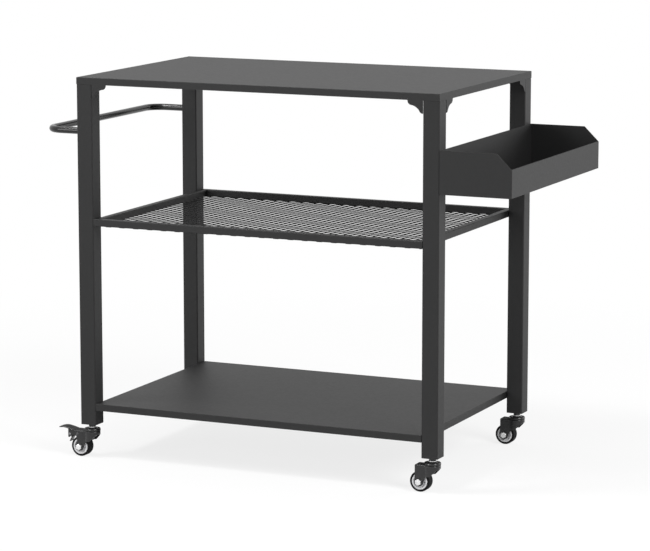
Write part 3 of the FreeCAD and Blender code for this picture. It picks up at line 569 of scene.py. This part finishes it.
def axle_pieces(corner, at_axle):
    """Bolt, nut, hub and tyre, all turned about the axle. The bolt's head is at the front."""
    body = f"caster_{corner}"
    wheel = f"wheel_{corner}"

    bm = bmesh.new()
    face, shank_end, tail = FORK_FACE + 0.6, 19.9, 22.0
    hexagon_solid(bm, HEX_RADIUS, -22.0, -face, 0.15, at_axle, ends=(True, False))
    washer_face = [(0, -face, 0), (6.4, -face, 0.1), (6.4, -FORK_FACE, 0.1), (0, -FORK_FACE, 0)]
    turn(bm, softened(washer_face, 0.3), at_axle, 64)
    shank = [(0, -FORK_FACE), (AXLE_RADIUS, -FORK_FACE), (AXLE_RADIUS, shank_end), (0, shank_end)]
    turn(bm, shank, at_axle, 32)
    turn(bm, thread_profile(shank_end, tail, AXLE_RADIUS), at_axle, 40)
    write(f"bolt_{corner}", bm, zinc_bright, body, [f"axle_bolt_{corner}"])

    bm = bmesh.new()
    hexagon_solid(bm, HEX_RADIUS, FORK_FACE, 19.0, 0.15, at_axle, bore=AXLE_RADIUS)
    rim = [(AXLE_RADIUS, 19.0), (6.2, 19.0), (6.0, 20.0, 0.7), (AXLE_RADIUS, 20.0)]
    turn(bm, softened(rim, 0.15), at_axle, 48)
    write(f"nut_{corner}", bm, zinc_bright, body, [f"axle_nut_{corner}"])

    bm = bmesh.new()
    hub = [
        (5.55, 12.0, 0.3), (8.5, 12.0, 0.5), (8.9, 6.2, 1.2), (13.8, 5.6, 1.5), (14.8, 10.8, 0.5),
        (15.4, 11.5, 0.5), (HUB_SEAT, 11.5, 0.5),
    ]
    turn(bm, softened(mirrored(hub), 0.3), at_axle, 96)
    write(f"hub_{corner}", bm, hub_grey, wheel, [f"wheel_hub_{corner}"])

    bm = bmesh.new()
    tyre = [
        (HUB_SEAT, 10.9, 0.2), (19.0, 11.0, 0.3), (AXLE_HEIGHT, 11.0, 4.0), (AXLE_HEIGHT, 0.35, 0.1),
        (23.85, 0.15, 0.05),
    ]
    turn(bm, softened(mirrored(tyre), 0.3, 7), at_axle, 128)
    write(f"tyre_{corner}", bm, tyre_black, wheel, [f"wheel_tyre_{corner}"])


def arch(back):
    """Height of the pedal's upper face, so far behind the kingpin, on a smooth curve through knots."""
    knots = [(PEDAL_TIP, 67.0), (76.0, 68.35), (68.0, 68.5), (55.25, 66.03), (PEDAL_ROOT, 63.0)]
    for i, ((b0, h0), (b1, h1)) in enumerate(zip(knots, knots[1:])):
        if b0 >= back >= b1:
            t = (b0 - back) / (b0 - b1)
            before = knots[max(i - 1, 0)]
            after = knots[min(i + 2, len(knots) - 1)]
            m0 = (h1 - before[1]) / (b1 - before[0]) * (b1 - b0)
            m1 = (after[1] - h0) / (after[0] - b0) * (b1 - b0)
            return (
                (2 * t**3 - 3 * t**2 + 1) * h0 + (t**3 - 2 * t**2 + t) * m0
                + (3 * t**2 - 2 * t**3) * h1 + (t**3 - t**2) * m1
            )
    return knots[-1][1]


def rounded_section(half_width, thick):
    """Cross-section of a plate with eased edges, as (across, depth below its upper face)."""
    corners = [(-half_width, 0), (half_width, 0), (half_width, thick), (-half_width, thick)]
    return softened(corners, 0.7, 3)


def brake_pieces(corner, x, y):
    """Foot pedal with eased edges and rounded corners, its rivet and its pin."""
    body = f"brake_{corner}"
    half_width, thick, stations, corner_round, nearby = 14.5, 2.0, 40, 5.0, 0.2
    bm = bmesh.new()
    rings = []
    for i in range(stations + 1):
        back = PEDAL_TIP + (PEDAL_ROOT - PEDAL_TIP) * i / stations
        height = arch(back)
        ahead, behind = max(back - nearby, PEDAL_ROOT), min(back + nearby, PEDAL_TIP)
        slope = (arch(ahead) - arch(behind)) / (behind - ahead)
        normal = Vector((-slope, 1)).normalized()
        inset = 0.0
        to_end = min(back - PEDAL_ROOT + 2.0, PEDAL_TIP - back)
        if to_end < corner_round:
            inset = corner_round - math.sqrt(corner_round**2 - (corner_round - to_end) ** 2)
        rings.append([
            bm.verts.new((x - back - normal.x * depth, y + py, height - normal.y * depth))
            for py, depth in rounded_section(half_width - inset, thick)
        ])
    join_and_cap(bm, rings)
    cheek = softened(
        [
            (-59.2, 65.9), (-45.5, 62.2), (-42.0, 60.0), (-33.0, 58.5, 4.2), (-28.5, 54.0, 4.2),
            (-33.0, 49.5, 4.2), (-42.5, 49.5, 3.0), (-51.0, 47.8, 3.0), (-56.0, 43.6, 1.0),
            (-59.2, 43.6, 2.4),
        ],
        0.4, 5,
    )
    slab(bm, cheek, -CHEEK_OUTSIDE, -CHEEK_INSIDE, x, y)
    slab(bm, cheek, CHEEK_INSIDE, CHEEK_OUTSIDE, x, y)
    write(f"pedal_{corner}", bm, pedal_black, body, [f"brake_pedal_{corner}"])

    bm = bmesh.new()
    where = on_axle(x - RIVET_BACK, y, RIVET_HEIGHT)
    head = [
        (0, 13.2, 0), (1.6, 13.0, 0.6), (2.3, 12.2, 0.3), (2.3, CHEEK_OUTSIDE, 0), (0, CHEEK_OUTSIDE, 0)
    ]
    for sign in (-1, 1):
        turn(bm, softened([(r, sign * level, e) for r, level, e in head], 0.2), where, 32)
    shank = [(0, -CHEEK_INSIDE), (1.5, -CHEEK_INSIDE), (1.5, CHEEK_INSIDE), (0, CHEEK_INSIDE)]
    turn(bm, shank, where, 24)
    write(f"rivet_{corner}", bm, zinc_dull, body)

    bm = bmesh.new()
    where = on_axle(x - PIN_BACK, y, PIN_HEIGHT)
    pin = [
        (0, 16.2, 0), (2.6, 16.1, 1.0), (3.8, 15.4, 0.3), (3.8, FORK_FACE, 0), (2.5, FORK_FACE, 0),
        (2.5, 0.0, 0),
    ]
    turn(bm, softened(mirrored(pin), 0.2), where, 40)
    write(f"pin_{corner}", bm, zinc_dark, f"caster_{corner}", [f"brake_pin_{corner}"])


# Floor, light and camera


def further_out(nodes, links, near, far, low, high):
    """Rises from low to high between two distances from the floor's middle."""
    place = nodes.new("ShaderNodeTexCoord")
    length = nodes.new("ShaderNodeVectorMath")
    length.operation = "LENGTH"
    links.new(place.outputs["Object"], length.inputs[0])
    spread = map_range(nodes, links, length.outputs["Value"], near, far, low, high)
    spread.interpolation_type = "SMOOTHSTEP"
    return spread.outputs["Result"]


def white_where_seen(nodes, links, natural, white, straight_share, indirect_share, output):
    """Mixes plain white in for rays that look at the backdrop, by one share where they look straight
    and by another where they come off metal or through glass."""
    rays = nodes.new("ShaderNodeLightPath").outputs
    straight = combine(nodes, links, "MULTIPLY", rays["Is Camera Ray"], straight_share)
    indirect = combine(nodes, links, "MAXIMUM", rays["Is Glossy Ray"], rays["Is Transmission Ray"])
    indirect = combine(nodes, links, "MULTIPLY", indirect, indirect_share)
    mix = nodes.new("ShaderNodeMixShader")
    links.new(combine(nodes, links, "MAXIMUM", straight, indirect), mix.inputs["Fac"])
    links.new(natural, mix.inputs[1])
    links.new(white, mix.inputs[2])
    links.new(mix.outputs[0], output)


def plain_white(node, strength):
    """Sets a background or emission node to white of a given strength."""
    node.inputs["Color"].default_value = (1, 1, 1, 1)
    node.inputs["Strength"].default_value = strength
    return node.outputs[0]


def white_world():
    world = bpy.data.worlds.new("studio")
    bpy.context.scene.world = world
    world.use_nodes = True
    nodes, links = world.node_tree.nodes, world.node_tree.links
    soft = plain_white(nodes["Background"], 0.42)
    white = plain_white(nodes.new("ShaderNodeBackground"), 1.0)
    white_where_seen(nodes, links, soft, white, 1.0, 1.0, nodes["World Output"].inputs["Surface"])


def white_floor():
    """A pale floor that is less white near the cart, so that its shadow shows there. Off metal and
    coat, the floor under the cart shows almost as it is lit."""
    bm = bmesh.new()
    bmesh.ops.create_grid(bm, x_segments=8, y_segments=8, size=30)
    mesh = bpy.data.meshes.new("floor")
    bm.to_mesh(mesh)
    bm.free()
    floor = bpy.data.objects.new("floor", mesh)
    bpy.context.scene.collection.objects.link(floor)
    material, nodes, links, shader = new_material("floor_white", (0.86, 0.86, 0.86), 0.9, specular=0.1)
    white = plain_white(nodes.new("ShaderNodeEmission"), 1.0)
    straight = further_out(nodes, links, 0.9, 2.4, 0.8, 1.0)
    indirect = further_out(nodes, links, 0.4, 1.3, 0.1, 1.0)
    surface = nodes["Material Output"].inputs["Surface"]
    white_where_seen(nodes, links, shader.outputs[0], white, straight, indirect, surface)
    mesh.materials.append(material)


def lamps():
    for name, place, aim, size, power in (
        ("key", (5.0, -2.2, 4.0), (0.0, 0.0, 0.5), 2.4, 275),
        ("top", (-1.9, -1.5, 4.4), (-0.2, 0.0, 0.6), 1.0, 115),
        ("side", (3.6, 3.0, 1.5), (0.2, 0.0, 0.5), 2.2, 48),
        ("fill", (-3.3, -5.0, 1.9), (-0.2, 0.0, 0.9), 2.2, 75),
    ):
        light = bpy.data.lights.new(name, "AREA")
        light.shape = "SQUARE"
        light.size = size
        light.energy = power
        lamp = bpy.data.objects.new(name, light)
        lamp.location = place
        lamp.rotation_euler = (Vector(aim) - Vector(place)).to_track_quat("-Z", "Y").to_euler()
        bpy.context.scene.collection.objects.link(lamp)


def camera():
    """A long lens from the front right, a little above the top."""
    looks_down, turned_left = 9.496, 24.388
    data = bpy.data.cameras.new("camera")
    data.sensor_width = 36
    data.lens = 164.91
    eye = bpy.data.objects.new("camera", data)
    eye.location = (2.8811, -6.3260, 1.5893)
    eye.rotation_euler = (math.radians(90 - looks_down), 0, math.radians(turned_left))
    bpy.context.scene.collection.objects.link(eye)
    bpy.context.scene.camera = eye


coat_solids()
expanded_mesh()
push_bar()
for name in CORNERS:
    caster_pieces(name)
white_world()
white_floor()
lamps()
camera()
bpy.context.scene.view_settings.view_transform = "Standard"
